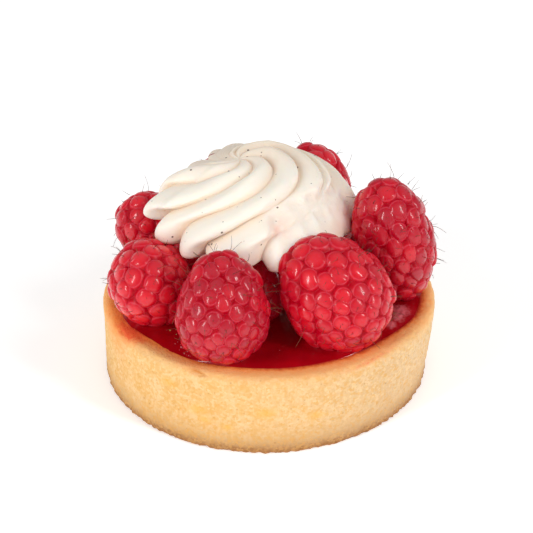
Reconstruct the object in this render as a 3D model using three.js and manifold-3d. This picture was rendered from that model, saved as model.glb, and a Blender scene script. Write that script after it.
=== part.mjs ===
// A raspberry tartlet: a straight-sided shortcrust case filled with jam, a ring of whole raspberries
// standing in the jam, and one piped swirl of vanilla cream resting on them.
// Millimetres, +Z up. The origin is the centre of the case's flat underside.

import * as THREE from 'three';
import { ConvexHull } from 'three/addons/math/ConvexHull.js';
import { mergeVertices } from 'three/addons/utils/BufferGeometryUtils.js';
import Module from 'manifold-3d';

const wasm = await Module();
wasm.setup();

// ---------------------------------------------------------------- driving dimensions

const GAP = 0.3; // kept between pieces that touch
const TAU = 2 * Math.PI;
const GOLDEN_TURN = Math.PI * (3 - Math.sqrt(5));

const CASE = {
  rimRadius: 35,
  baseRadius: 33.9,
  height: 18,
  floor: 3.5,
  wall: 4.3, // at the jam's level
  innerDraft: 0.6, // how much the inner wall closes in towards the floor
  edgeRounding: 1.2,
  innerCorner: 1.4,
  rimWobble: 0.28, // hand-pressed dough is never quite level or round
  sides: 48,
  seed: 4,
};

const JAM = { level: 17.1, meniscus: 0.35, sides: 48 };

// A raspberry: where its middle is, its half width and half length, how much the tip is narrower
// than the stem end, and the way the tip points (azimuth from +X, elevation from level, degrees).
// grade is how much smaller the drupelets get from the tip to the stem end.
const BERRIES = [
  {
    name: 'berry_back_left',
    at: [-24.9, 12.2, 25.9],
    half: [7.6, 9.0],
    taper: 0.14,
    tip: [215, 55],
    drupelets: 58,
    grade: 0.4,
    seed: 11,
  },
  {
    name: 'berry_front_left',
    at: [-24.2, -11.0, 25.9],
    half: [9.1, 9.5],
    taper: 0.12,
    tip: [262, 32],
    drupelets: 62,
    grade: 0.5,
    seed: 23,
  },
  {
    name: 'berry_front',
    at: [-9.2, -22.4, 27.4],
    half: [9.3, 11.7],
    taper: 0.17,
    tip: [95, 72],
    drupelets: 80,
    grade: 0.3,
    seed: 35,
  },
  {
    name: 'berry_front_right',
    at: [13.0, -16.8, 27.6],
    half: [10.6, 13.1],
    taper: 0.16,
    tip: [140, 52],
    drupelets: 90,
    grade: 0.9,
    seed: 47,
  },
  {
    name: 'berry_right',
    at: [25.8, -0.4, 30.3],
    half: [8.8, 13.9],
    taper: 0.06,
    tip: [165, 79],
    drupelets: 78,
    grade: 0.4,
    seed: 59,
  },
  {
    name: 'berry_back_right',
    at: [10.2, 20.6, 28.7],
    half: [8.6, 12.0],
    taper: 0.12,
    tip: [110, 78],
    drupelets: 62,
    grade: 0.4,
    seed: 61,
  },
  {
    name: 'berry_back',
    at: [-10.6, 20.4, 27.0],
    half: [7.4, 10.8],
    taper: 0.12,
    tip: [100, 76],
    drupelets: 50,
    grade: 0.4,
    seed: 73,
  },
  {
    name: 'berry_inner_left',
    at: [-13.9, 3.6, 24.0],
    half: [6.2, 7.8],
    taper: 0.1,
    tip: [200, 62],
    drupelets: 36,
    grade: 0.3,
    seed: 85,
  },
  {
    name: 'berry_inner',
    at: [-2.7, -8.7, 23.0],
    half: [6.2, 7.2],
    taper: 0.1,
    tip: [60, 78],
    drupelets: 36,
    grade: 0.3,
    seed: 97,
  },
];

const DRUPELET = {
  groove: 1.05, // depth of the seams between drupelets
  shoulder: 0.58, // where the dome's middle ring lies, from the crown to the seam
  shoulderDrop: 0.27,
  flatDrop: 0.35, // crown of the plain drupelets on the underside
  plainBelow: -0.35, // drupelets that face down more than this stay plain
  jitter: 0.35, // unevenness of their places, in spacings
};

const CREAM = {
  apex: [-7.3, 7.4], // where the piping ended
  middle: [-4, 3.8],
  top: 43.9,
  crest: 0.3, // height of a ridge over its width
  crestMost: 2.3,
  foot: { radius: 8.5, neck: 25 },
  split: { azimuth: -77, width: 5, from: 0.78, depth: 0.8 }, // the front ridge ends in two lobes
  columnsPerRidge: 5,
};
// The swirl's edge by the azimuth about its middle: how far out the valleys end, and how high.
const EDGE_RADIUS = [
  [-180, 20], [-150, 18.6], [-120, 17.8], [-95, 18], [-60, 19.6], [-15, 19.6], [25, 20.8],
  [60, 20], [100, 18], [135, 15.6], [157, 17.8], [180, 20],
];
const EDGE_HEIGHT = [
  [-180, 34.4], [-120, 31.6], [-75, 30.6], [-30, 31.2], [0, 32.6], [30, 35.4], [60, 36.8],
  [100, 36], [135, 35.8], [157, 35.2], [180, 34.4],
];
// The swirl's valleys by the azimuth at which each leaves the edge, seen from the apex.
const VALLEYS = [-192, -181, -167, -149, -129, -110, -93, -48, -14, 18, 48, 80, 120];
// How far a valley winds about the apex, and how tightly it starts, by that same azimuth.
const WRAP = [
  [-192, 0], [-181, 40], [-167, 95], [-149, 135], [-110, 165], [-93, 190], [-48, 208],
  [-14, 178], [168, 0],
];
const WIND_POWER = [
  [-192, 1], [-149, 1], [-129, 1.3], [-110, 2], [168, 2],
];
const WIND_SHARPNESS = [
  [-192, 1.25], [-110, 1.4], [-93, 1.1], [168, 1],
];

// ---------------------------------------------------------------- small helpers

const degrees = THREE.MathUtils.degToRad;

/** A repeatable number from 0 to 1 for an index and a seed. */
function chance(index, seed) {
  const value = Math.sin(index * 12.9898 + seed * 78.233) * 43758.5453;
  return value - Math.floor(value);
}

/** A smooth curve through [x, y] knots. */
function follow(knots, x) {
  const last = knots.length - 1;
  if (x <= knots[0][0]) return knots[0][1];
  if (x >= knots[last][0]) return knots[last][1];
  let i = 0;
  while (x > knots[i + 1][0]) i += 1;
  const slope = (a, b) => (knots[b][1] - knots[a][1]) / (knots[b][0] - knots[a][0]);
  const width = knots[i + 1][0] - knots[i][0];
  const t = (x - knots[i][0]) / width;
  const start = slope(Math.max(i - 1, 0), i + 1) * width;
  const end = slope(i, Math.min(i + 2, last)) * width;
  return THREE.MathUtils.lerp(knots[i][1], knots[i + 1][1], t * t * (3 - 2 * t))
    + start * t * (1 - t) ** 2 - end * t * t * (1 - t);
}

function material(color, roughness) {
  return new THREE.MeshStandardMaterial({ color, roughness, metalness: 0 });
}

function geometryFrom(points, faces) {
  const geometry = new THREE.BufferGeometry();
  const places = points.flatMap((point) => point.toArray());
  geometry.setAttribute('position', new THREE.Float32BufferAttribute(places, 3));
  geometry.setIndex(faces.flat());
  return geometry;
}

/** Leaves only merged positions, as a closed solid needs. */
function welded(geometry) {
  const plain = geometry.clone();
  plain.deleteAttribute('normal');
  plain.deleteAttribute('uv');
  return mergeVertices(plain, 1e-3);
}

function toManifold(geometry) {
  const plain = welded(geometry);
  return new wasm.Manifold(new wasm.Mesh({
    numProp: 3,
    vertProperties: new Float32Array(plain.attributes.position.array),
    triVerts: new Uint32Array(plain.index.array),
  }));
}

/** The largest single body of a manifold, as a geometry. */
function fromManifold(solid) {
  const bodies = solid.decompose().sort((a, b) => b.volume() - a.volume());
  const mesh = bodies[0].getMesh();
  const geometry = new THREE.BufferGeometry();
  geometry.setAttribute('position', new THREE.Float32BufferAttribute(mesh.vertProperties, 3));
  geometry.setIndex(Array.from(mesh.triVerts));
  return geometry;
}

// ---------------------------------------------------------------- the case

/** A wall profile turned about Z; the list of [radius, height] starts and ends on the axis. */
function turned(profile, sides) {
  const outline = profile.map(([radius, height]) => new THREE.Vector2(radius, height));
  return welded(new THREE.LatheGeometry(outline, sides).rotateX(Math.PI / 2));
}

const innerTop = CASE.rimRadius - CASE.wall;
const innerBottom = innerTop - CASE.innerDraft;

function caseGeometry() {
  const { rimRadius, baseRadius, height, floor, innerCorner, edgeRounding: round } = CASE;
  const profile = [
    [0, 0],
    [baseRadius - round, 0],
    [baseRadius - 0.3 * round, 0.3 * round],
    [baseRadius, round],
    [(baseRadius + rimRadius) / 2, height / 2],
    [rimRadius, height - 1.9],
    [rimRadius - 0.2, height - 0.8],
    [rimRadius - 0.8, height - 0.15],
    [rimRadius - 1.8, height],
    [innerTop + 0.9, height - 0.1],
    [innerTop + 0.25, height - 0.4],
    [innerTop, height - 1.1],
    [innerBottom, floor + innerCorner],
    [innerBottom - innerCorner, floor],
    [0, floor],
  ];
  const geometry = turned(profile, CASE.sides);
  const place = geometry.attributes.position;
  for (let i = 0; i < place.count; i += 1) {
    const point = new THREE.Vector3().fromBufferAttribute(place, i);
    const turn = Math.atan2(point.y, point.x);
    const radius = Math.hypot(point.x, point.y);
    if (radius > innerTop + 0.1) {
      const wobble = unevenness(turn, CASE.seed) * CASE.rimWobble;
      const share = THREE.MathUtils.smoothstep(point.z, 1, height);
      const grown = 1 + (wobble * (0.5 + 0.5 * share)) / radius;
      const lift = point.z > height - 1.7 ? 0.6 * CASE.rimWobble * unevenness(turn, CASE.seed + 1) : 0;
      place.setXYZ(i, point.x * grown, point.y * grown, point.z + lift);
    }
  }
  return geometry;
}

/** A slow, repeatable wave round the case, from about -1 to 1. */
function unevenness(turn, seed) {
  let sum = 0;
  for (let wave = 2; wave <= 7; wave += 1) {
    sum += Math.cos(wave * turn + TAU * chance(wave, seed)) / wave;
  }
  return sum / 1.2;
}

// ---------------------------------------------------------------- raspberries

/** The point of a berry's outside at an angle from its tip and a turn about its axis. */
function berrySkin(berry, angle, turn, lift) {
  const [halfWidth, halfLength] = berry.half;
  const axial = halfLength * Math.cos(angle);
  const radial = halfWidth * Math.sin(angle) ** 0.92 * (1 - berry.taper * Math.cos(angle));
  const bend = 1 + 0.035 * Math.cos(2 * turn + TAU * chance(1, berry.seed));
  const slopeOut = Math.sin(angle) / halfWidth;
  const slopeUp = Math.cos(angle) / halfLength;
  const length = Math.hypot(slopeOut, slopeUp);
  const out = radial * bend + (lift * slopeOut) / length;
  const along = axial + (lift * slopeUp) / length;
  return new THREE.Vector3(out * Math.cos(turn), out * Math.sin(turn), along);
}

/** Angles from the tip that share the berry's outside out evenly, more of it to each tip drupelet. */
function spreadAngles(berry) {
  const steps = 90;
  const sums = [0];
  for (let i = 0; i < steps; i += 1) {
    const angle = (Math.PI * (i + 0.5)) / steps;
    const skin = berrySkin(berry, angle, 0, 0);
    const arc = Math.hypot(berry.half[0] * Math.cos(angle), berry.half[1] * Math.sin(angle));
    sums.push(sums[i] + skin.x * arc * (1 + berry.grade * (0.5 - 0.5 * Math.cos(angle))));
  }
  return Array.from({ length: berry.drupelets }, (_, k) => {
    const goal = ((k + 0.5) / berry.drupelets) * sums[steps];
    let i = 0;
    while (sums[i + 1] < goal) i += 1;
    return (Math.PI * (i + (goal - sums[i]) / (sums[i + 1] - sums[i]))) / steps;
  });
}

const onSphere = (angle, turn) => new THREE.Vector3().setFromSphericalCoords(1, angle, turn);

/** The berry's skin in the direction of a point of the unit sphere. */
function skinToward(berry, direction, lift) {
  const spherical = new THREE.Spherical().setFromVector3(direction);
  return berrySkin(berry, spherical.phi, spherical.theta, lift);
}

/** The middles of the drupelets on the unit sphere, on an uneven spiral. */
function drupeletMiddles(berry) {
  const spacing = Math.sqrt((4 * Math.PI) / berry.drupelets);
  return spreadAngles(berry).map((angle, k) => {
    const shift = DRUPELET.jitter * spacing;
    const nearPole = Math.max(Math.sin(angle), 0.3);
    const jittered = angle + shift * (chance(2 * k + 3, berry.seed) - 0.5);
    const turn = k * GOLDEN_TURN + (shift * (chance(2 * k + 4, berry.seed) - 0.5)) / nearPole;
    return onSphere(THREE.MathUtils.clamp(jittered, 0.05, Math.PI - 0.05), turn);
  });
}

/** Each drupelet's corners: the points of the unit sphere that it shares with two neighbours. */
function drupeletCorners(middles) {
  const corners = middles.map(() => []);
  const index = new Map(middles.map((middle, i) => [middle, i]));
  const hull = new ConvexHull().setFromPoints(middles);
  const points = hull.faces.map((face) => face.normal.clone());
  hull.faces.forEach((face, corner) => {
    let edge = face.edge;
    do {
      corners[index.get(edge.head().point)].push(corner);
      edge = edge.next;
    } while (edge !== face.edge);
  });
  corners.forEach((ring, i) => {
    const across = new THREE.Vector3().subVectors(points[ring[0]], middles[i]);
    across.projectOnPlane(middles[i]).normalize();
    const round = new THREE.Vector3().crossVectors(middles[i], across);
    const bearing = (corner) => Math.atan2(points[corner].dot(round), points[corner].dot(across));
    ring.sort((a, b) => bearing(a) - bearing(b));
  });
  return { corners, points };
}

function berryPose(berry) {
  const [azimuth, elevation] = berry.tip.map(degrees);
  const tip = new THREE.Vector3(
    Math.cos(elevation) * Math.cos(azimuth),
    Math.cos(elevation) * Math.sin(azimuth),
    Math.sin(elevation),
  );
  // skin is built with its axis along +Z
  return new THREE.Quaternion().setFromUnitVectors(new THREE.Vector3(0, 0, 1), tip);
}

/** One closed skin of domed drupelets. */
function berryGeometry(berry) {
  const middles = drupeletMiddles(berry);
  const { corners, points: cornerDirections } = drupeletCorners(middles);
  const pose = berryPose(berry);
  const points = cornerDirections.map((direction) => skinToward(berry, direction, -DRUPELET.groove));
  const faces = [];
  middles.forEach((middle, i) => {
    const ring = corners[i];
    const facing = skinToward(berry, middle, 1).sub(skinToward(berry, middle, 0)).applyQuaternion(pose);
    const plain = facing.z < DRUPELET.plainBelow;
    const crown = points.push(skinToward(berry, middle, plain ? -DRUPELET.flatDrop : 0)) - 1;
    let inner = ring;
    if (!plain) {
      inner = ring.map((corner) => {
        const direction = middle.clone().lerp(cornerDirections[corner], DRUPELET.shoulder).normalize();
        return points.push(skinToward(berry, direction, -DRUPELET.shoulderDrop)) - 1;
      });
      ring.forEach((corner, k) => {
        const next = (k + 1) % ring.length;
        faces.push([inner[k], corner, ring[next]], [inner[k], ring[next], inner[next]]);
      });
    }
    inner.forEach((point, k) => faces.push([crown, point, inner[(k + 1) % inner.length]]));
  });
  return geometryFrom(points, faces);
}

/** A plain, slightly larger berry that cuts the room for it out of the cream and the jam. */
function berryRoom(berry) {
  const sides = 14;
  const rows = 8;
  const lift = GAP + 0.35;
  const profile = Array.from({ length: rows }, (_, i) => (Math.PI * (i + 1)) / (rows + 1));
  const points = [berrySkin(berry, 0, 0, lift), berrySkin(berry, Math.PI, 0, lift)];
  profile.forEach((angle) => {
    for (let k = 0; k < sides; k += 1) points.push(berrySkin(berry, angle, (TAU * k) / sides, lift));
  });
  const faces = [];
  for (let k = 0; k < sides; k += 1) {
    const next = (k + 1) % sides;
    const at = (row, column) => 2 + row * sides + column;
    faces.push([0, at(0, k), at(0, next)], [1, at(profile.length - 1, next), at(profile.length - 1, k)]);
    for (let row = 0; row + 1 < profile.length; row += 1) {
      faces.push([at(row, k), at(row + 1, k), at(row + 1, next)]);
      faces.push([at(row, k), at(row + 1, next), at(row, next)]);
    }
  }
  const geometry = geometryFrom(points, faces);
  geometry.applyQuaternion(berryPose(berry));
  geometry.translate(...berry.at);
  return toManifold(geometry);
}

function berryMesh(berry) {
  const mesh = new THREE.Mesh(berryGeometry(berry), material(0xb3192b, 0.45));
  mesh.name = berry.name;
  mesh.position.set(...berry.at);
  mesh.quaternion.copy(berryPose(berry));
  return mesh;
}

// ---------------------------------------------------------------- jam

function jamGeometry(rooms) {
  const top = JAM.level;
  const edge = innerTop - GAP;
  const floor = CASE.floor + GAP;
  const solid = toManifold(turned([
    [0, floor],
    [innerBottom - CASE.innerCorner - GAP, floor],
    [innerBottom - GAP, floor + CASE.innerCorner],
    [edge - 0.1, top - 1],
    [edge - 0.15, top + JAM.meniscus],
    [edge - 0.7, top + 0.3 * JAM.meniscus],
    [edge - 1.6, top],
    [0, top],
  ], JAM.sides));
  return fromManifold(rooms.reduce((left, room) => left.subtract(room), solid));
}

// ---------------------------------------------------------------- cream

/** The swirl's edge in a direction from its apex, and that point's azimuth about the middle. */
function creamEdge(bearing) {
  const [ax, ay] = CREAM.apex;
  const [mx, my] = CREAM.middle;
  let reach = EDGE_RADIUS[0][1];
  let azimuth = 0;
  for (let pass = 0; pass < 12; pass += 1) {
    const x = ax + reach * Math.cos(bearing) - mx;
    const y = ay + reach * Math.sin(bearing) - my;
    azimuth = Math.atan2(y, x);
    reach += 0.8 * (follow(EDGE_RADIUS, THREE.MathUtils.radToDeg(azimuth)) - Math.hypot(x, y));
  }
  return { reach, azimuth };
}

/** Where a valley or ridge that leaves the edge at an azimuth lies, at a share of the way out. */
function windingBearing(edgeAzimuth, share) {
  const power = follow(WIND_POWER, edgeAzimuth);
  const sharpness = follow(WIND_SHARPNESS, edgeAzimuth);
  return degrees(edgeAzimuth + follow(WRAP, edgeAzimuth) * Math.max(1 - share ** power, 0) ** sharpness);
}

/** A point of the swirl: share runs out from the apex, lift is the ridge's height there. */
function creamSkin(bearing, share, lift) {
  const { reach, azimuth } = creamEdge(bearing);
  const rim = follow(EDGE_HEIGHT, THREE.MathUtils.radToDeg(azimuth));
  const steepness = share ** 2.2;
  const out = reach * share + lift * steepness;
  const up = rim + (CREAM.top - rim + lift) * Math.sqrt(1 - steepness);
  const [ax, ay] = CREAM.apex;
  return new THREE.Vector3(ax + out * Math.cos(bearing), ay + out * Math.sin(bearing), up);
}

/** The columns of the swirl, several to a ridge: the azimuth where each leaves the edge, its crest. */
function creamColumns() {
  const columns = [];
  VALLEYS.forEach((start, i) => {
    const end = i + 1 < VALLEYS.length ? VALLEYS[i + 1] : VALLEYS[0] + 360;
    for (let k = 0; k < CREAM.columnsPerRidge; k += 1) {
      const part = k / CREAM.columnsPerRidge;
      columns.push({
        edgeAzimuth: start + part * (end - start),
        crest: Math.sin(Math.PI * part) ** 0.75,
        start,
        end,
      });
    }
  });
  return columns;
}

/** How high a column of the swirl stands over its valleys, at a share of the way out. */
function ridgeLift(column, share) {
  const { reach } = creamEdge(windingBearing(column.edgeAzimuth, share));
  const turn = windingBearing(column.end, share) - windingBearing(column.start, share);
  const height = Math.min(CREAM.crest * Math.abs(turn) * reach * share, CREAM.crestMost);
  const { azimuth, width, from, depth } = CREAM.split;
  const aside = (column.edgeAzimuth - azimuth) / width;
  const crease = depth * THREE.MathUtils.smoothstep(share, from, 1) * Math.exp(-(aside ** 2));
  return height * column.crest * (1 - crease);
}

function creamGeometry(rooms) {
  const columns = creamColumns();
  const points = [];
  const shares = [0.07, 0.15, 0.24, 0.34, 0.44, 0.54, 0.63, 0.72, 0.8, 0.87, 0.93, 0.975, 1];
  shares.forEach((share) => columns.forEach((column) => {
    points.push(creamSkin(windingBearing(column.edgeAzimuth, share), share, ridgeLift(column, share)));
  }));
  // the lobes curl under at the edge
  [[0.95, 1.7, 0.8], [0.8, 3.2, 0.35]].forEach(([share, drop, keep]) => columns.forEach((column) => {
    const bearing = degrees(column.edgeAzimuth);
    const edge = creamSkin(bearing, 1, keep * ridgeLift(column, 1));
    points.push(new THREE.Vector3(
      THREE.MathUtils.lerp(CREAM.apex[0], edge.x, share),
      THREE.MathUtils.lerp(CREAM.apex[1], edge.y, share),
      edge.z - drop,
    ));
  }));
  // and the body goes down between the berries to the jam
  [CREAM.foot.neck, JAM.level + GAP].forEach((height) => columns.forEach((column) => {
    const { azimuth } = creamEdge(degrees(column.edgeAzimuth));
    points.push(new THREE.Vector3(
      CREAM.middle[0] + CREAM.foot.radius * Math.cos(azimuth),
      CREAM.middle[1] + CREAM.foot.radius * Math.sin(azimuth),
      height,
    ));
  }));
  const count = columns.length;
  const rows = points.length / count;
  const top = points.push(new THREE.Vector3(...CREAM.apex, CREAM.top)) - 1;
  const bottom = points.push(new THREE.Vector3(...CREAM.middle, JAM.level + GAP)) - 1;
  const faces = [];
  for (let k = 0; k < count; k += 1) {
    const next = (k + 1) % count;
    faces.push([top, k, next], [bottom, (rows - 1) * count + next, (rows - 1) * count + k]);
    for (let row = 0; row + 1 < rows; row += 1) {
      const above = row * count;
      const below = above + count;
      faces.push([above + k, below + k, below + next], [above + k, below + next, above + next]);
    }
  }
  const solid = toManifold(geometryFrom(points, faces));
  return fromManifold(rooms.reduce((left, room) => left.subtract(room), solid));
}

// ---------------------------------------------------------------- assembly

function named(name, geometry, finish) {
  const mesh = new THREE.Mesh(geometry, finish);
  mesh.name = name;
  return mesh;
}

const rooms = BERRIES.map(berryRoom);
const tartlet = new THREE.Group();
tartlet.name = 'raspberry_tartlet';
tartlet.add(named('crust', caseGeometry(), material(0xe9bd82, 0.85)));
tartlet.add(named('jam', jamGeometry(rooms), material(0x6e0209, 0.15)));
tartlet.add(named('cream', creamGeometry(rooms), material(0xf6efe2, 0.55)));
BERRIES.forEach((berry) => tartlet.add(berryMesh(berry)));

export default tartlet;
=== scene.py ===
"""A raspberry tartlet's visible surfaces, built over its solids.

Forms are worked out in millimetres, in the solids' own frame: +Z up, with the origin at the middle
of the case's flat underside. They become metres when a mesh is made of them.
"""

import logging
import math
from dataclasses import dataclass
from enum import Enum
from typing import Any, Iterable, Sequence

import bmesh
import bpy
import numpy as np
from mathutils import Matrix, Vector, noise


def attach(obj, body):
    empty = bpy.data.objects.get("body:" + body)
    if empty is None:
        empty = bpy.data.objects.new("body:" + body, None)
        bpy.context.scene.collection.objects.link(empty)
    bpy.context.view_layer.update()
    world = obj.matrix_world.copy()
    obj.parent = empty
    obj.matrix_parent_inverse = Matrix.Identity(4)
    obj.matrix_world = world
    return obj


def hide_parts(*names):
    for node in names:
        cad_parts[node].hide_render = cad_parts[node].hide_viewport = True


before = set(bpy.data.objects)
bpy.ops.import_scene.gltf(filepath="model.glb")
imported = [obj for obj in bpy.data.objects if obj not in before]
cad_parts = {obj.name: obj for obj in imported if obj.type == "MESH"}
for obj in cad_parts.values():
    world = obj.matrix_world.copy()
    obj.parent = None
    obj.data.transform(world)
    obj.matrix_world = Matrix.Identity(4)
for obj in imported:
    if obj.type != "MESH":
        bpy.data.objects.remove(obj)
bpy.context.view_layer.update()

LOG = logging.getLogger("tartlet")
MM = 0.001
TAU = 2 * math.pi
GOLDEN_TURN = math.pi * (3 - math.sqrt(5))
BODY = "root"

Colour = tuple[float, float, float]
Place = tuple[float, float, float]
Pair = tuple[float, float]
Knots = tuple[Pair, ...]
Faces = list[tuple[int, ...]]
Array = np.ndarray
Amount = Array | float
Piece = bpy.types.Object
Material = bpy.types.Material
Socket = bpy.types.NodeSocket


class Slot(Enum):
    """The material slots of the record."""

    CRUST = "crust"
    JAM = "jam"
    CREAM = "cream"
    RASPBERRY = "raspberry"


# ---- numbers and small tools


def chance(index: int, seed: int) -> float:
    """Gives the repeatable number from 0 to 1 that a series has at an index."""
    value = math.sin(index * 12.9898 + seed * 78.233) * 43758.5453
    return value - math.floor(value)


def srgb(red: int, green: int, blue: int) -> Colour:
    """Turns a screen colour into the linear light that shaders take.

    Args:
        red: Its red, from 0 to 255.
        green: Its green.
        blue: Its blue.

    Returns:
        The three channels, from 0 to 1.
    """

    def linear(level: float) -> float:
        """One channel of it."""
        return level / 12.92 if level <= 0.04045 else ((level + 0.055) / 1.055) ** 2.4

    return linear(red / 255), linear(green / 255), linear(blue / 255)


def smoothstep(low: float, high: float, value: Array) -> Array:
    """Rises smoothly from 0 at low to 1 at high."""
    share = np.clip((value - low) / (high - low), 0.0, 1.0)
    return share * share * (3 - 2 * share)


def hump(distance: Array, width: float) -> Array:
    """A bell of height 1 that falls off with distance."""
    return np.exp(-((distance / width) ** 2))


@dataclass(frozen=True)
class Curve:
    """A smooth curve through knots of (x, y), level beyond its ends."""

    knots: Knots

    def at(self, x: Array) -> Array:
        """Reads the curve.

        Args:
            x: The places to read it at.

        Returns:
            The curve's values there.
        """
        xs, ys = np.array(self.knots, float).T
        last = len(xs) - 1
        x = np.clip(np.asarray(x, float), xs[0], xs[-1])
        i = np.clip(np.searchsorted(xs, x, side="right") - 1, 0, last - 1)
        width = xs[i + 1] - xs[i]
        t = (x - xs[i]) / width
        before, after = np.maximum(i - 1, 0), np.minimum(i + 2, last)
        start = (ys[i + 1] - ys[before]) / (xs[i + 1] - xs[before]) * width
        end = (ys[after] - ys[i]) / (xs[after] - xs[i]) * width
        eased = t * t * (3 - 2 * t)
        straight = ys[i] + (ys[i + 1] - ys[i]) * eased
        return straight + start * t * (1 - t) ** 2 - end * t * t * (1 - t)


def unevenness(turn: Array, seed: int) -> Array:
    """A slow, repeatable wave round the case, from about -1 to 1."""
    waves = [np.cos(wave * turn + TAU * chance(wave, seed)) / wave for wave in range(2, 8)]
    return sum(waves) / 1.2


def grain(points: Array, size: float, seed: int, octaves: int = 2) -> Array:
    """Smooth three-dimensional noise at points.

    Args:
        points: Places in millimetres, one a row.
        size: The width of a lump, in millimetres.
        seed: Moves the noise, so that two uses differ.
        octaves: How many finer layers it has.

    Returns:
        A value from about -1 to 1 for each point.
    """
    shift = Vector((17.3 * seed, 5.1 * seed, 29.7 * seed))
    scaled = points / size
    return np.array([noise.fractal(Vector(p) + shift, 0.6, 2.1, octaves) for p in scaled.tolist()])


def around(count: int, start: float = 0.0) -> Array:
    """Even steps once round, in radians."""
    return np.linspace(start, start + TAU, count, endpoint=False)


def unit(ways: Array) -> Array:
    """The same ways, each one long."""
    return ways / np.linalg.norm(ways, axis=-1, keepdims=True)


def span(points: Array, place: Any) -> Array:
    """How far points are from a place."""
    return np.linalg.norm(points - np.array(place), axis=-1)


def mix(ends: Pair, share: float) -> float:
    """A value between two ends."""
    return ends[0] + (ends[1] - ends[0]) * share


def turned(radius: Amount, turns: Array, height: Amount, middle: Pair = (0.0, 0.0)) -> Array:
    """The points at radii, turns and heights about an upright axis, row after row."""
    x, y = middle[0] + radius * np.cos(turns), middle[1] + radius * np.sin(turns)
    return np.stack(np.broadcast_arrays(x, y, height), axis=-1).reshape(-1, 3)


def polar(points: Array) -> tuple[Array, Array]:
    """How far points are from the upright axis, and their turn about it in radians."""
    return np.hypot(points[:, 0], points[:, 1]), np.arctan2(points[:, 1], points[:, 0])


def grid_faces(rows: int, columns: int, first: int = 0) -> Faces:
    """Quads between rows of points that each run once round.

    Args:
        rows: How many rows there are.
        columns: How many points a row has; the last joins the first.
        first: The index of the first row's first point.

    Returns:
        The quads, facing out where the rows go down and each runs anticlockwise.
    """
    faces: Faces = []
    for row in range(rows - 1):
        upper = first + row * columns
        lower = upper + columns
        for k in range(columns):
            after = (k + 1) % columns
            faces.append((upper + k, lower + k, lower + after, upper + after))
    return faces


def tube_faces(rows: int, columns: int, first: int) -> Faces:
    """Joins rows of points into a tube that one flat face closes at each end.

    Args:
        rows: How many rows there are.
        columns: How many points a row has.
        first: The index of the first row's first point.

    Returns:
        The quads and the two end faces.
    """
    end = first + (rows - 1) * columns
    caps = [tuple(range(first, first + columns)), tuple(reversed(range(end, end + columns)))]
    return grid_faces(rows, columns, first) + caps


def closed_faces(rows: int, columns: int) -> Faces:
    """Joins rows of points, closed by fans round a top and a bottom point that follow the rows.

    Args:
        rows: How many rows there are.
        columns: How many points a row has.

    Returns:
        The quads and the fans' triangles.
    """
    top, bottom, last = rows * columns, rows * columns + 1, (rows - 1) * columns
    faces = grid_faces(rows, columns)
    faces += [(top, k, (k + 1) % columns) for k in range(columns)]
    return faces + [(bottom, last + (k + 1) % columns, last + k) for k in range(columns)]


def flipped(faces: Iterable[Sequence[int]]) -> Faces:
    """The same faces, seen from their other side."""
    return [tuple(reversed(face)) for face in faces]


def make_piece(
    name: str, points: Array, faces: Iterable[Sequence[int]], values: dict[str, Array] | None = None
) -> Piece:
    """Makes a smooth-shaded mesh object, standing at the origin.

    Args:
        name: The piece's name.
        points: Its points in millimetres, one a row.
        faces: Its faces, as indices of points.
        values: Numbers at its points that its material reads, by name.

    Returns:
        The object, in the scene.
    """
    mesh = bpy.data.meshes.new(name)
    mesh.from_pydata((points * MM).tolist(), [], list(faces))
    for label, numbers in (values or {}).items():
        attribute = mesh.attributes.new(label, "FLOAT", "POINT")
        attribute.data.foreach_set("value", np.asarray(numbers, np.float32))
    mesh.polygons.foreach_set("use_smooth", [True] * len(mesh.polygons))
    mesh.validate()
    mesh.update()
    piece = bpy.data.objects.new(name, mesh)
    bpy.context.scene.collection.objects.link(piece)
    return piece


def dress_piece(piece: Piece, material: Material, slot: Slot, *nodes: str) -> None:
    """Gives a piece its material and its place in the frame.

    Args:
        piece: The piece.
        material: What it is made of.
        slot: The record's slot that the material stands for; not used.
        nodes: The solids that the piece stands for, if any.
    """
    piece.data.materials.append(material)
    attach(piece, BODY)
    if nodes:
        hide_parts(*nodes)
    LOG.info("%s: %d faces", piece.name, len(piece.data.polygons))


# ---- shader maths


class Wire:
    """A number that varies over a surface, so that shader maths reads as plain expressions."""

    def __init__(self, bench: "Bench", socket: Socket) -> None:
        """Holds an output socket of one of the bench's nodes."""
        self.bench = bench
        self.socket = socket

    def __add__(self, other: "Wire | float") -> "Wire":
        """This plus other."""
        return self.bench.maths("ADD", self, other)

    def __radd__(self, other: float) -> "Wire":
        """Other plus this."""
        return self.bench.maths("ADD", other, self)

    def __sub__(self, other: "Wire | float") -> "Wire":
        """This less other."""
        return self.bench.maths("SUBTRACT", self, other)

    def __rsub__(self, other: float) -> "Wire":
        """Other less this."""
        return self.bench.maths("SUBTRACT", other, self)

    def __mul__(self, other: "Wire | float") -> "Wire":
        """This times other."""
        return self.bench.maths("MULTIPLY", self, other)

    def __rmul__(self, other: float) -> "Wire":
        """Other times this."""
        return self.bench.maths("MULTIPLY", other, self)

    def over(self, low: float, high: float) -> "Wire":
        """Eases this into a number that rises smoothly from 0 to 1.

        Args:
            low: Where it starts to rise.
            high: Where it reaches 1.

        Returns:
            The eased number.
        """
        node = self.bench.node(
            "ShaderNodeMapRange",
            {"interpolation_type": "SMOOTHSTEP"},
            {0: self, 1: low, 2: high, 3: 0.0, 4: 1.0},
        )
        return Wire(self.bench, node.outputs[0])


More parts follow.
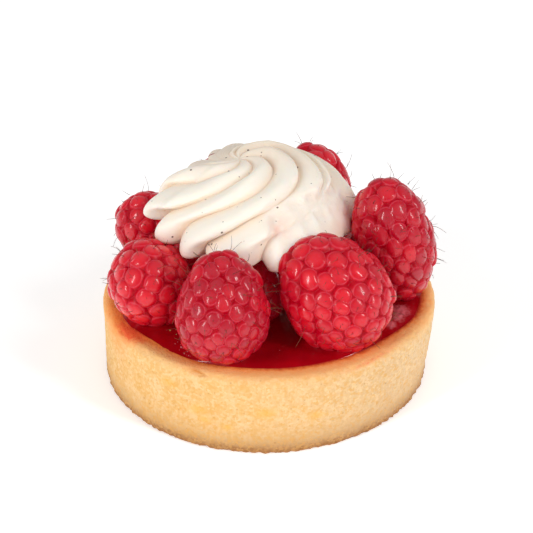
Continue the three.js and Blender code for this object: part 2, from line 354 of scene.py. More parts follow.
class Bench:
    """One material's node tree, and the few ways in which nodes are put into it."""

    def __init__(self, name: str) -> None:
        """Starts an empty material.

        Args:
            name: The material's name.
        """
        self.material = bpy.data.materials.new(name)
        self.material.use_nodes = True
        self.tree = self.material.node_tree
        self.tree.nodes.clear()

    def node(
        self, kind: str, settings: dict[str, Any] | None = None, values: dict[Any, Any] | None = None
    ) -> bpy.types.Node:
        """Adds a node.

        Args:
            kind: The node's type.
            settings: Its own properties.
            values: What its sockets get, by name or index: a constant, a Wire or a socket.

        Returns:
            The node.
        """
        node = self.tree.nodes.new(kind)
        for key, value in (settings or {}).items():
            setattr(node, key, value)
        for key, value in (values or {}).items():
            socket = node.inputs[key]
            source = value.socket if isinstance(value, Wire) else value
            if isinstance(source, Socket):
                self.tree.links.new(source, socket)
            elif socket.type == "RGBA":
                socket.default_value = (*source[:3], 1.0)
            else:
                socket.default_value = source
        return node

    def maths(self, operation: str, first: Wire | float, second: Wire | float) -> Wire:
        """Works one sum on numbers."""
        node = self.node("ShaderNodeMath", {"operation": operation}, {0: first, 1: second})
        return Wire(self, node.outputs[0])

    def blend(self, base: Any, top: Any, share: Wire) -> Socket:
        """Lays one colour over another, as far as share says. Each is a colour or its socket."""
        node = self.node("ShaderNodeMix", {"data_type": "RGBA"}, {0: share, 6: base, 7: top})
        return node.outputs[2]

    def layers(self, base: Any, *coats: tuple[Any, Wire]) -> Any:
        """Lays colours over a base in turn.

        Args:
            base: The lowest colour.
            coats: The colours over it, each with how much of it shows.

        Returns:
            The colour that shows in the end.
        """
        for top, share in coats:
            base = self.blend(base, top, share)
        return base

    def places(self, stretch: Place = (1.0, 1.0, 1.0)) -> Socket:
        """Finds the surface's own coordinates.

        Args:
            stretch: How far a pattern laid over them is stretched along each axis.

        Returns:
            The coordinates in millimetres, each divided by its stretch.
        """
        own = self.node("ShaderNodeTexCoord").outputs["Object"]
        scale = tuple(1 / (MM * part) for part in stretch)
        node = self.node("ShaderNodeVectorMath", {"operation": "MULTIPLY"}, {0: own, 1: scale})
        return node.outputs[0]

    def lumps(self, size: float, detail: float = 2.0, stretch: Place = (1.0, 1.0, 1.0)) -> Wire:
        """Makes soft noise.

        Args:
            size: The width of a lump, in millimetres.
            detail: How many finer layers it has.
            stretch: How far the lumps are stretched along each axis.

        Returns:
            The noise, from 0 to 1 about a half.
        """
        values = {"Vector": self.places(stretch), "Scale": 1 / size, "Detail": detail}
        node = self.node("ShaderNodeTexNoise", None, {**values, "Roughness": 0.55})
        return Wire(self, node.outputs[0])

    def scatter(self, size: float, output: str) -> Socket:
        """An output of a pattern of scattered points, about size millimetres apart."""
        values = {"Vector": self.places(), "Scale": 1 / size}
        return self.node("ShaderNodeTexVoronoi", None, values).outputs[output]

    def numbers(self, size: float) -> Wire:
        """A number from 0 to 1 for the cell round each scattered point."""
        node = self.node("ShaderNodeSeparateColor", None, {0: self.scatter(size, "Color")})
        return Wire(self, node.outputs[0])

    def specks(self, size: float, edge: Pair, kept: Pair) -> Wire:
        """Specks at scattered points that fade over an edge, in cells. Numbers say which are kept."""
        away = Wire(self, self.scatter(size, "Distance"))
        return (1 - away.over(*edge)) * self.numbers(size).over(*kept)

    def value(self, label: str) -> Wire:
        """A number stored at the mesh's points."""
        node = self.node("ShaderNodeAttribute", {"attribute_name": label})
        return Wire(self, node.outputs["Fac"])

    def relief(self, height: Wire, depth: float) -> Socket:
        """A normal bumped by a height of 0 to 1, which is so many millimetres deep."""
        values = {"Height": height, "Distance": depth * MM, "Strength": 1.0}
        return self.node("ShaderNodeBump", None, values).outputs[0]

    @staticmethod
    def translucent(weight: float, radius: Place, depth: float) -> dict[str, Any]:
        """Works out how a surface lets light in.

        Args:
            weight: How much light it lets in, from 0 to 1.
            radius: How deep red, green and blue go, as shares of the depth.
            depth: How deep light goes, in millimetres.

        Returns:
            The values of the shader's sockets, by name.
        """
        return {
            "Subsurface Weight": weight,
            "Subsurface Radius": radius,
            "Subsurface Scale": depth * MM,
        }

    def finish(self, colour: Any, roughness: Wire | float, more: dict[str, Any]) -> Material:
        """Ends the tree in one principled shader.

        Args:
            colour: The base colour or its socket.
            roughness: The roughness.
            more: The values of other sockets, by name.

        Returns:
            The material.
        """
        values = {"Base Color": colour, "Roughness": roughness, **more}
        shader = self.node("ShaderNodeBsdfPrincipled", None, values).outputs[0]
        self.node("ShaderNodeOutputMaterial", None, {"Surface": shader})
        return self.material


# ---- finishes


@dataclass(frozen=True)
class CrustFinish:
    """Matte baked shortcrust: sandy and finely pitted, browner by the jam and in its crease, soaked at
    its very edge, with painted shade at its foot, on its right side and in the crease, and a painted
    highlight along the rim.
    """

    sandy: Colour = srgb(237, 189, 119)
    pale: Colour = srgb(248, 214, 162)
    golden: Colour = srgb(232, 176, 94)
    tan: Colour = srgb(196, 140, 84)
    side_shade_tint: Colour = srgb(226, 196, 158)
    rim_highlight: Colour = srgb(255, 206, 138)
    toasted: Colour = srgb(250, 146, 66)
    soaked: Colour = srgb(190, 46, 20)
    juicy: Colour = srgb(240, 102, 54)
    foot_shade_brown: Colour = srgb(166, 116, 68)
    amber: Colour = srgb(248, 182, 72)
    creased: Colour = srgb(208, 122, 44)
    roughness: float = 0.78

    def material(self) -> Material:
        """Makes the material.

        Returns:
            The material, ready for a piece.
        """
        bench = Bench("shortcrust")
        mottle = bench.lumps(5.0, 2.0)
        crumb = bench.lumps(1.4, 4.0)
        sand = bench.lumps(0.4, 4.0)
        streak = bench.lumps(0.8, 2.0, (0.7, 0.7, 6.0))
        grains, coarse = bench.numbers(0.5), bench.numbers(1.1)
        specks = bench.specks(1.5, (0.06, 0.2), (0.5, 0.8))
        browned = bench.value("browning") * (crumb * 0.9 + 0.55)
        uneven = crumb * 0.8 + 0.6
        patchy = grains * 0.6 + 0.7
        soaked = bench.value("soaked") + (crumb - 0.5) * 0.7
        colour = bench.layers(
            self.sandy,
            (self.golden, mottle.over(0.54, 0.76) * 0.6),
            (self.pale, (1 - mottle.over(0.3, 0.46)) * 0.5),
            (self.golden, crumb.over(0.5, 0.7) * 0.25),
            (self.pale, streak.over(0.5, 0.7) * 0.4),
            # painted shade: the dough greyer on its right side
            (self.side_shade_tint, bench.value("side_shade") * 0.8),
            (self.pale, grains.over(0.45, 1.0) * 0.6),
            (self.golden, (1 - grains.over(0.0, 0.45)) * 0.65),
            (self.pale, coarse.over(0.6, 1.0) * 0.3),
            (self.golden, (1 - coarse.over(0.0, 0.3)) * 0.25),
            (self.tan, specks * 0.6),
            # painted shade: darker towards the foot and underneath
            (self.foot_shade_brown, bench.value("foot_shade") * patchy),
            # painted highlight: a lighter band along the rim's top
            (self.rim_highlight, bench.value("rim") * 0.7),
            (self.toasted, browned.over(-0.1, 1.1)),
            (self.amber, bench.value("amber") * uneven),
            # darker amber-brown in the crease: partly baked colour, partly painted shade
            (self.creased, bench.value("crease") * uneven),
            (self.juicy, (bench.value("juice") * patchy).over(0.05, 1.0)),
            (self.soaked, soaked.over(0.15, 0.9)),
        )
        return bench.finish(colour, self.roughness + (sand - 0.5) * 0.2, {
            "Normal": bench.relief(crumb * 0.35 + sand * 0.65, 0.4),
            "Specular IOR Level": 0.3,
            **bench.translucent(0.15, (1.0, 0.6, 0.3), 0.5),
        })


@dataclass(frozen=True)
class JamFinish:
    """Glossy set jam, deep red, brighter in soft clouds and where painted light falls towards the
    case's edge and at the left front, with crushed flesh in places.
    """

    deep: Colour = srgb(146, 2, 15)
    bright: Colour = srgb(188, 8, 24)
    flesh: Colour = srgb(206, 100, 108)
    roughness: float = 0.16

    def material(self) -> Material:
        """Makes the material.

        Returns:
            The material, ready for a piece.
        """
        bench = Bench("jam")
        cloud = bench.lumps(6.0, 1.0)
        fine = bench.lumps(0.7, 2.0)
        # painted light: brighter towards the case's edge and in a pool at the left front, besides
        # cloudy tone
        thin = bench.value("lit_glow") * 0.8 + cloud.over(0.4, 0.7) * 0.35
        pulp = bench.value("pulp") + (fine - 0.5) * 0.8
        colour = bench.layers(self.deep, (self.bright, thin), (self.flesh, pulp.over(0.35, 0.95)))
        return bench.finish(colour, self.roughness + (fine - 0.5) * 0.1, {
            "Normal": bench.relief(cloud * 0.7 + fine * 0.3, 0.07),
            **bench.translucent(0.25, (1.0, 0.1, 0.06), 1.2),
        })


@dataclass(frozen=True)
class CreamFinish:
    """Soft whipped cream with vanilla specks, with painted shade in its valleys and over the back of
    its top, pink with juice where it met the berries and with painted reflected light from them low on
    the left.
    """

    white: Colour = srgb(253, 241, 228)
    valley: Colour = srgb(241, 215, 186)
    shaded: Colour = srgb(222, 204, 182)
    pink: Colour = srgb(243, 196, 178)
    speck: Colour = srgb(80, 46, 36)
    fleck: Colour = srgb(150, 20, 30)
    roughness: float = 0.5

    def material(self) -> Material:
        """Makes the material.

        Returns:
            The material, ready for a piece.
        """
        bench = Bench("vanilla_cream")
        cloud = bench.lumps(6.0, 2.0)
        froth = bench.lumps(0.5, 2.0)
        fine = bench.specks(1.5, (0.07, 0.13), (0.5, 0.9))
        large = bench.specks(3.7, (0.05, 0.085), (0.4, 0.44))
        colour = bench.layers(
            self.white,
            # painted shade in the valleys between the ridges
            (self.valley, bench.value("valley").over(0.35, 1.0) * 0.52),
            # painted shade over the back of the top
            (self.shaded, bench.value("shade") * 0.6),
            # pink: juice stain, and painted reflected light from the berries low on the left
            (self.pink, bench.value("blush") * (cloud * 0.6 + 0.7)),
            (self.speck, fine * 0.7),
            (self.speck, large * 0.9),
            (self.fleck, bench.value("fleck")),
        )
        return bench.finish(colour, self.roughness + (froth - 0.5) * 0.15, {
            "Normal": bench.relief(froth, 0.05),
            "Specular IOR Level": 0.35,
            **bench.translucent(0.6, (1.0, 0.8, 0.6), 2.4),
        })


@dataclass(frozen=True)
class BerryFinish:
    """Raspberry skin: translucent red beads, velvety bloom, painted sheen on tops and edges, painted
    shade on flanks and in wine-dark seams, faint painted glow.
    """

    flesh: Colour = srgb(218, 12, 34)
    ripe: Colour = srgb(170, 2, 32)
    flank: Colour = srgb(180, 2, 32)
    bloom_and_sheen: Colour = srgb(226, 96, 112)
    seam: Colour = srgb(168, 0, 22)
    glow: Colour = srgb(112, 0, 16)
    ember: Colour = srgb(76, 0, 10)
    roughness: float = 0.34

    def material(self) -> Material:
        """Makes the material.

        Returns:
            The material, ready for a piece.
        """
        bench = Bench("raspberry_skin")
        cloud = bench.lumps(7.0, 1.0)
        velvet = bench.lumps(0.3, 2.0)
        bead = bench.value("bead") + (velvet - 0.5) * 0.08
        tone = bench.value("tone") + (cloud - 0.5) * 0.5
        # painted highlight: a soft pink sheen on each bead's top, over its velvety bloom
        bloom_and_top_sheen = (1 - bead.over(0.15, 0.75)) * (velvet * 0.7 + cloud * 0.6)
        # painted sheen: a thin pale ring near each bead's edge
        rim_sheen = bead.over(0.74, 0.82) * (1 - bead.over(0.86, 0.92))
        gap = bead.over(0.9, 1.05)
        colour = bench.layers(
            self.flesh,
            (self.ripe, tone.over(0.1, 1.0)),
            # painted shade: darker down each bead's flank, and darker still in the seams between beads
            (self.flank, bead.over(0.3, 0.85) * 0.55),
            (self.bloom_and_sheen, bloom_and_top_sheen * 0.12),
            (self.bloom_and_sheen, rim_sheen * 0.3),
            (self.seam, gap * 0.8),
        )
        return bench.finish(colour, self.roughness + (velvet - 0.5) * 0.1, {
            "Normal": bench.relief(velvet, 0.012),
            "Specular IOR Level": 0.18,
            "Coat Weight": (1 - bead.over(0.5, 0.85)) * 0.9,
            "Coat Roughness": 0.11,
            "Coat IOR": 1.4,
            # painted light: the skin glows faintly, most in the seams
            "Emission Color": bench.blend(self.ember, self.glow, gap),
            "Emission Strength": 0.35,
            **bench.translucent(0.5, (1.0, 0.08, 0.06), 0.9),
        })


@dataclass(frozen=True)
class HairFinish:
    """Dry brown styles, lighter in places."""

    dark: Colour = srgb(72, 38, 28)
    light: Colour = srgb(126, 82, 50)

    def material(self) -> Material:
        """Makes the material.

        Returns:
            The material, ready for a piece.
        """
        bench = Bench("dry_style")
        colour = bench.blend(self.light, self.dark, bench.lumps(3.0).over(0.35, 0.6))
        return bench.finish(colour, 0.6, {})


@dataclass(frozen=True)
class FrothFinish:
    """Pale pink froth, and olive where it is a pip."""

    froth: Colour = srgb(214, 108, 116)
    pip: Colour = srgb(186, 160, 92)

    def material(self) -> Material:
        """Makes the material.

        Returns:
            The material, ready for a piece.
        """
        bench = Bench("jam_froth")
        colour = bench.blend(self.froth, self.pip, bench.value("pip"))
        return bench.finish(colour, 0.2, {})


@dataclass(frozen=True)
class FloorFinish:
    """A plain pale studio floor."""

    white: Colour = srgb(246, 246, 246)

    def material(self) -> Material:
        """Makes the material."""
        glow = {"Emission Color": self.white, "Emission Strength": 0.36}
        return Bench("studio_floor").finish(self.white, 0.8, glow)


# ---- the case


@dataclass(frozen=True)
class ShortcrustCase:
    """The straight-sided shortcrust case that holds the jam.

    Inner gives, by azimuth, the inner wall's radius at the rim, as pressed dough is never even.
    Soak and wet say by azimuth how much further than elsewhere the jam has browned the rim and how
    much further its juice has run; another table says by azimuth how much painted shade greys the
    dough, most on its right side. Soaked and browned give their tints by the way over the dough, in
    millimetres from the jam. Crease is the middle of a short crease. Amber spots are (azimuth,
    height, size), the streak of juice is at an azimuth and a way, and the juicy spot has an azimuth
    and a width.
    """

    rim_radius: float = 35.0
    base_radius: float = 34.0
    height: float = 18.0
    floor: float = 3.5
    wall: float = 5.0
    inner_draft: float = 0.6
    rounding: float = 0.6
    rim_wobble: float = 0.28
    foot_shift: Pair = (-0.7, -0.4)
    dough_relief: float = 0.16
    crumb_relief: float = 0.09
    pit_depth: float = 0.28
    crease_depth: float = 0.3
    ragged_foot: float = 0.4
    seed: int = 4
    columns: int = 620
    inner: Curve = Curve((
        (-180, 31.2), (-152, 31.1), (-138, 30.2), (-120, 30.3), (-100, 29.7), (-66, 29.4), (-48, 29.6),
        (-38, 30.0), (-30, 30.6), (-18, 31.5), (10, 31.2), (180, 31.2),
    ))
    soak: Curve = Curve((
        (-180, 1.0), (-164, 1.5), (-152, 1.8), (-142, 1.0), (-134, 0.75), (-120, 0.75), (-100, 0.9),
        (-60, 1.0), (-42, 0.9), (-30, 0.85), (0, 0.85), (180, 1.0),
    ))
    # painted shade: by azimuth, how much the dough is greyed, most on its right side
    side_shade: Curve = Curve((
        (-180, 0.1), (-112, 0), (-84, 0.3), (-58, 0.7), (-30, 1.0), (60, 0.8), (180, 0.1),
    ))
    wet: Curve = Curve((
        (-180, 0.8), (-152, 0.7), (-136, 0.7), (-120, 1.1), (-108, 1.7), (-64, 2.1), (-38, 2.0),
        (-10, 2.0), (20, 1.6), (180, 0.8),
    ))
    soaked: Curve = Curve(((0.0, 1.0), (0.25, 0.95), (0.7, 0.5), (1.2, 0.15), (1.9, 0.0)))
    browned: Curve = Curve((
        (0.0, 1.0), (1.2, 1.0), (1.7, 0.85), (2.3, 0.65), (3.3, 0.48), (4.3, 0.32), (5.3, 0.16),
        (7.5, 0.0),
    ))
    crease: Place = (-14.2, -31.7, 17.55)
    amber_spots: tuple[Place, ...] = (
        (-114.6, 9.0, 1.2), (-112.0, 7.0, 0.8), (-91.1, 10.2, 1.2), (-125.0, 13.6, 1.1),
        (-104.0, 6.0, 0.7), (-74.0, 8.6, 0.9),
    )
    streak: Pair = (-52.0, 4.5)
    juicy_spot: Pair = (-149.0, 8.0)

    @property
    def inner_top(self) -> float:
        """The inner wall's radius at the rim."""
        return self.rim_radius - self.wall

    def outline(self) -> Array:
        """Draws the wall's section.

        Returns:
            Rows of (radius, height), from the underside over the rim to the floor inside.
        """
        top, base, small = self.height, self.base_radius, self.rounding

        def bow(centre: Pair, reach: Pair, start: float, count: int) -> Array:
            """A quarter of an ellipse, from start degrees on."""
            angles = np.radians(np.linspace(start, start + 90, count))
            return np.array(centre) + np.stack([np.cos(angles), np.sin(angles)], axis=1) * reach

        low = bow((base - small, small), (small, small), -90, 7)
        over = bow((self.rim_radius - 1.8, top - 1.9), (1.8, 1.9), 0, 12)
        inner = bow((self.inner_top + 0.9, top - 1.1), (0.9, 1.05), 90, 9)
        wall = np.linspace(low[-1], over[0], 48)[1:-1]
        rim = np.linspace(over[-1], inner[0], 10)[1:-1]
        bottom = self.inner_top - self.inner_draft
        under = [(8, 0), (20, 0), (29, 0), (31.5, 0)]
        inside = [(bottom, self.floor + 1.4), (bottom - 1.4, self.floor), (8, self.floor)]
        return np.vstack([under, low, wall, over, rim, inner, inside])

    def build(self) -> Piece:
        """Makes the case's mesh with its baked unevenness.

        Returns:
            The piece.
        """
        rows = self.outline()
        turns = around(self.columns)
        points = turned(rows[:, :1], turns, rows[:, 1:])
        (radii, turn), heights = polar(points), points[:, 2]
        share = smoothstep(1, self.height, heights)
        shown = (radii > self.inner_top + 0.1) & (heights > 0)
        wobble = unevenness(turn, self.seed) * self.rim_wobble * (0.5 + 0.5 * share)
        lift = unevenness(turn, self.seed + 1) * self.rim_wobble * 0.6
        lift *= smoothstep(15.8, 16.6, heights)
        soft = grain(points, 6.0, 3) * self.dough_relief + grain(points, 1.6, 5) * self.crumb_relief
        pits = np.maximum(grain(points, 0.9, 7) - 0.25, 0) * -self.pit_depth
        ragged = grain(points, 0.9, 9) * self.ragged_foot * (1 - smoothstep(0.0, 1.6, heights))
        crack = -self.crease_depth * self.crease_share(points)
        inward = 1 - smoothstep(self.inner_top, self.rim_radius - 1.5, radii)
        inward *= (radii > 20) & (heights > 0)
        thinned = inward * (self.inner.at(np.degrees(turn)) - self.inner_top)
        out = np.where(shown, wobble + soft + pits + ragged + crack, 0.0) + thinned
        up = np.where(shown & (heights > self.height - 1.7), lift + 0.6 * (soft + pits) + crack, 0.0)
        grown = 1 + out / np.maximum(radii, 1.0)
        lag = 1 - smoothstep(0.0, self.height - 3.0, heights)
        across = points[:, :2] * grown[:, None] + np.array(self.foot_shift) * lag[:, None]
        points = np.column_stack([across, heights + up])
        everything = np.vstack([points, [[0, 0, 0], [0, 0, self.floor]]])
        faces = flipped(closed_faces(len(rows), self.columns))
        return make_piece("shortcrust_case", everything, faces, self.tints(everything))

    def dress(self) -> None:
        """Builds the case in baked shortcrust."""
        dress_piece(self.build(), CrustFinish().material(), Slot.CRUST, "crust")

    def crease_share(self, points: Array) -> Array:
        """Finds the short crease along the rim's outer edge.

        Args:
            points: Places on the case, in millimetres.

        Returns:
            How deep each lies in the crease, from 0 to 1.
        """
        away = points - np.array(self.crease)
        along = away[:, 0] * 0.9 - away[:, 1] * 0.42
        across = np.abs(away[:, 2] + 0.06 * along)
        near = np.hypot(away[:, 0], away[:, 1]) < 6
        return hump(along, 1.8) * hump(across, 0.24) * near

    def amber(self, azimuth: Array, height: Array) -> Array:
        """Finds the darker baked spots of the wall.

        Args:
            azimuth: Azimuths of places, in degrees.
            height: Their heights, in millimetres.

        Returns:
            How strongly the spots show there.
        """
        share = np.zeros(len(azimuth))
        for middle, level, size in self.amber_spots:
            away = np.hypot((azimuth - middle) * 0.36, height - level)
            share = np.maximum(share, hump(away, size))
        return 0.6 * share

    def tints(self, points: Array) -> dict[str, Array]:
        """Works out the baked and soaked tints, and where painted shade and a painted highlight fall.

        Args:
            points: Places on the case, in millimetres.

        Returns:
            How strongly each tint shows at each place, by the tint's name.
        """
        (radius, turn), height = polar(points), points[:, 2]
        azimuth = np.degrees(turn)
        down = np.maximum(self.height - 0.5 - height, 0) * (radius > self.rim_radius - 2.0)
        way = np.maximum(radius - self.inner.at(azimuth), 0) + down
        rim = height > self.height / 2
        near = way / self.soak.at(azimuth)
        aside = azimuth - self.streak[0]
        line = hump(aside, 13.0) * hump(way - self.streak[1] + 0.055 * aside, 0.55)
        blot = hump(azimuth - self.juicy_spot[0], self.juicy_spot[1]) * hump(way - 1.9, 2.2)
        return {
            "soaked": self.soaked.at(near / self.wet.at(azimuth)) * rim,
            "browning": self.browned.at(near) * rim,
            "amber": self.amber(azimuth, height) * (radius > self.inner_top),
            "crease": self.crease_share(points),
            "juice": np.maximum(line * 0.5, blot * 1.1) * rim,
            # painted highlight: a lighter band along the rim's top, towards its outer edge
            "rim": hump(way - 3.4, 2.0) * rim,
            # painted shade: the dough greyer on its right side
            "side_shade": self.side_shade.at(azimuth),
            # painted shade: darker towards the foot and underneath
            "foot_shade": np.clip(1.2 * np.exp(-height / 2.6), 0, 1) * (radius > 20),
        }


# ---- raspberries


@dataclass(frozen=True)
class Raspberry:
    """A whole raspberry: one closed skin of domed beads on a tapered body.

    Its middle, its half width and half length, how much its tip is narrower than its stem end, and
    the way the tip points, as an azimuth from +X and an elevation in degrees. Grade is how much
    smaller the beads get towards the stem end, and a dent has a place, a width and a depth. Spread,
    fullness and flatness form a bead's dome, which falls evenly beyond its brink, and swell says how
    much the beads' heights differ.
    """

    name: str
    at: Place
    half: Pair
    taper: float
    tip: Pair
    beads: int
    grade: float
    seed: int
    ripeness: float = 0.5
    dent: tuple[Place, float, float] | None = None
    jitter: float = 0.4
    spread: float = 1.1
    fullness: float = 2.7
    flatness: float = 0.54
    swell: float = 0.3
    seam: float = 0.1
    brink: float = 0.94
    fall: float = 1.3
    least_tilt: float = 0.05
    edge_steps: int = 4
    rings: tuple[float, ...] = (0.2, 0.38, 0.54, 0.68, 0.79, 0.88, 0.95)

    def skin(self, angle: Array, turn: Array, lift: Amount) -> Array:
        """Finds points on or over the berry's smooth body, about its own middle and axis.

        Args:
            angle: The angle from the tip.
            turn: The turn about the axis.
            lift: How far the points stand out of the body, in millimetres.

        Returns:
            The points, one a row.
        """
        width, length = self.half
        axial, level = length * np.cos(angle), np.sin(angle)
        radial = width * level**0.92 * (1 - self.taper * np.cos(angle))
        bend = 1 + 0.035 * np.cos(2 * turn + TAU * chance(1, self.seed))
        out, up = level / width, np.cos(angle) / length
        steep = np.hypot(out, up)
        reach = radial * bend + lift * out / steep
        along = axial + lift * up / steep
        return np.stack([reach * np.cos(turn), reach * np.sin(turn), along], axis=-1)

    def toward(self, direction: Array, lift: Amount) -> Array:
        """Finds the body's points in directions given as points of the unit sphere."""
        x, y, z = np.moveaxis(direction, -1, 0)
        return self.skin(np.arccos(np.clip(z, -1, 1)), np.arctan2(y, x), lift)

    def angles(self) -> list[float]:
        """Shares the body's outside out to the beads, more of it to each bead near the tip.

        Returns:
            The beads' angles from the tip, in radians.
        """
        steps = 90
        middle = math.pi * (np.arange(steps) + 0.5) / steps
        across = self.skin(middle, np.zeros(steps), 0.0)[:, 0]
        arc = np.hypot(self.half[0] * np.cos(middle), self.half[1] * np.sin(middle))
        graded = 1 + self.grade * (0.5 - 0.5 * np.cos(middle))
        sums = np.concatenate([[0], np.cumsum(across * arc * graded)])
        goals = (np.arange(self.beads) + 0.5) / self.beads * sums[-1]
        return (math.pi * np.interp(goals, sums, np.arange(steps + 1)) / steps).tolist()

    def crowns(self) -> Array:
        """Lays the beads' middles out on an uneven spiral.

        Returns:
            Their places on the unit sphere, one a row.
        """
        shift = self.jitter * math.sqrt(4 * math.pi / self.beads)
        rows = []
        for k, angle in enumerate(self.angles()):
            tilt = angle + shift * (chance(2 * k + 3, self.seed) - 0.5)
            aside = shift * (chance(2 * k + 4, self.seed) - 0.5) / max(math.sin(angle), 0.3)
            rows.append((tilt, k * GOLDEN_TURN + aside))
        tilts, turns = np.array(rows).T
        tilts = np.clip(tilts, self.least_tilt, math.pi - self.least_tilt)
        return turned(np.sin(tilts), turns, np.cos(tilts))

    @staticmethod
    def neighbours(crowns: Array) -> tuple[list[list[int]], Array]:
        """Finds where three beads meet.

        Args:
            crowns: The beads' middles on the unit sphere.

        Returns:
            For each bead the corners round it in order, and all corners as points of the sphere.
        """
        hull = bmesh.new()
        verts = [hull.verts.new(crown) for crown in crowns]
        bmesh.ops.convex_hull(hull, input=verts)
        bmesh.ops.triangulate(hull, faces=hull.faces)
        hull.faces.index_update()
        corners = []
        for face in hull.faces:
            a, b, c = (np.array(vert.co) for vert in face.verts)
            normal = unit(np.cross(b - a, c - a))
            corners.append(normal * math.copysign(1, normal @ a))
        rounds = []
        for crown, vert in zip(crowns, verts):
            ring = [face.index for face in vert.link_faces]
            aside = corners[ring[0]] - crown * (corners[ring[0]] @ crown)
            other = np.cross(crown, aside)
            ring.sort(key=lambda i: math.atan2(corners[i] @ other, corners[i] @ aside))
            rounds.append(ring)
        hull.free()
        return rounds, np.array(corners)

    def pose(self) -> Array:
        """Finds the turn that brings the axis from +Z to the way the tip points.

        Returns:
            The turn, as a matrix.
        """
        azimuth, elevation = (math.radians(part) for part in self.tip)
        level = math.cos(elevation)
        way = Vector((level * math.cos(azimuth), level * math.sin(azimuth), math.sin(elevation)))
        return np.array(Vector((0, 0, 1)).rotation_difference(way).to_matrix())

    def settled(self, points: Array) -> Array:
        """Brings points from the berry's own axes to where it stands."""
        return points @ self.pose().T + np.array(self.at)

    def dome(self, k: int, crown: Array, reach: float, points: Array) -> Array:
        """Finds how far a bead's skin stands out of the body.

        Args:
            k: Which bead.
            crown: Its crown's place on the body.
            reach: Its mean radius, in millimetres.
            points: Places on the body.

        Returns:
            The lift at each place, which is the bead's own swell at its crown and falls round it.
        """
        away = span(points, crown) / (self.spread * reach)
        power = self.fullness
        near = np.minimum(away, self.brink)
        curve = 1 - (1 - near**power) ** (1 / power)
        beyond = (away - near) * self.fall
        swell = self.swell * (chance(k + 11, self.seed * 3 + 1) - 0.5) * reach
        return swell - self.flatness * self.spread * reach * (curve + beyond)

    def seams(self, rounds: list[list[int]], corners: Array) -> tuple[list[list[int]], Array]:
        """Lays points along the seams between the beads.

        Args:
            rounds: For each bead the corners round it.
            corners: All corners, as points of the unit sphere.

        Returns:
            For each bead the seam points round it in order, and all of them on the sphere.
        """
        seam: list[Array] = list(corners)
        shared: dict[tuple[int, int], list[int]] = {}

        def edge(first: int, second: int) -> list[int]:
            """Finds the seam's points between two corners.

            Args:
                first: The corner it starts at.
                second: The corner it runs to.

            Returns:
                The points' indices, with the first corner and without the second.
            """
            key = (min(first, second), max(first, second))
            if key not in shared:
                shared[key] = []
                start, end = corners[key[0]], corners[key[1]]
                for i in range(1, self.edge_steps):
                    shared[key].append(len(seam))
                    seam.append(unit(start + (end - start) * i / self.edge_steps))
            return [first] + (shared[key] if key[0] == first else shared[key][::-1])

        bounds = []
        for ring in rounds:
            pairs = zip(ring, ring[1:] + ring[:1])
            bounds.append([i for pair in pairs for i in edge(*pair)])
        return bounds, np.array(seam)

    def build(self) -> Piece:
        """Makes the berry's mesh, one dome a bead, joined along their seams.

        Returns:
            The piece.
        """
        crowns = self.crowns()
        bounds, ways = self.seams(*self.neighbours(crowns))
        tops, body = self.toward(crowns, 0.0), self.toward(ways, 0.0)
        reaches = [float(span(body[ring], top).mean()) for ring, top in zip(bounds, tops)]
        total, count, rounding = np.zeros((3, len(ways)))
        for k, ring in enumerate(bounds):
            total[ring] += self.dome(k, tops[k], reaches[k], body[ring])
            count[ring] += 1
        depth = total / count - self.seam
        points, bead = [self.toward(ways, depth + self.dented(body))], [rounding]
        tone = [np.full(len(ways), self.ripeness)]
        faces: Faces = []
        filled = len(ways)
        shares = np.array(self.rings)[:, None]
        for k, (ring, crown, top, reach) in enumerate(zip(bounds, crowns, tops, reaches)):
            way = unit(crown + (ways[ring][None] - crown) * shares[..., None])
            flat = self.toward(way, 0.0)
            mend = depth[ring] - self.dome(k, top, reach, body[ring])
            lift = self.dome(k, top, reach, flat) + mend * shares**3
            rows = self.toward(way, lift + self.dented(flat)).reshape(-1, 3)
            centre_lift = self.dome(k, top, reach, top[None]) + self.dented(top[None])
            points += [rows, self.toward(crown[None], centre_lift)]
            bead += [span(flat, top).ravel() / reach, np.zeros(1)]
            rounding[ring] += span(body[ring], top) / reach
            own_tone = self.ripeness + 0.5 * (chance(k, self.seed + 9) - 0.5)
            tone.append(np.full(len(rows) + 1, own_tone))
            wide = len(ring)
            faces += grid_faces(len(self.rings), wide, filled)
            middle = filled + len(rows)
            last = middle - wide
            for i in range(wide):
                after = (i + 1) % wide
                faces.append((last + i, ring[i], ring[after], last + after))
                faces.append((middle, filled + i, filled + after))
            filled = middle + 1
        rounding /= count
        everything = self.settled(np.vstack(points))
        values = {"bead": np.concatenate(bead), "tone": np.concatenate(tone)}
        return make_piece(self.name + "_skin", everything, faces, values)

    def dress(self, skin: Material) -> None:
        """Builds the berry in the skin that all of them share."""
        dress_piece(self.build(), skin, Slot.RASPBERRY, self.name)

    def dented(self, body: Array) -> Amount:
        """Finds how far the berry has sunk in.

        Args:
            body: Places on its body.

        Returns:
            The lift there, which is below 0 in the dent.
        """
        if self.dent is None:
            return 0.0
        place, width, depth = self.dent
        return -depth * hump(span(self.settled(body), place), width)

    def roots(self) -> tuple[Array, Array]:
        """Finds where styles can stand.

        Returns:
            Places just under the beads' crowns, and the way each bead faces.
        """
        crowns = self.crowns()
        low, high = self.settled(self.toward(crowns, -0.1)), self.settled(self.toward(crowns, 0.9))
        return low, high - low


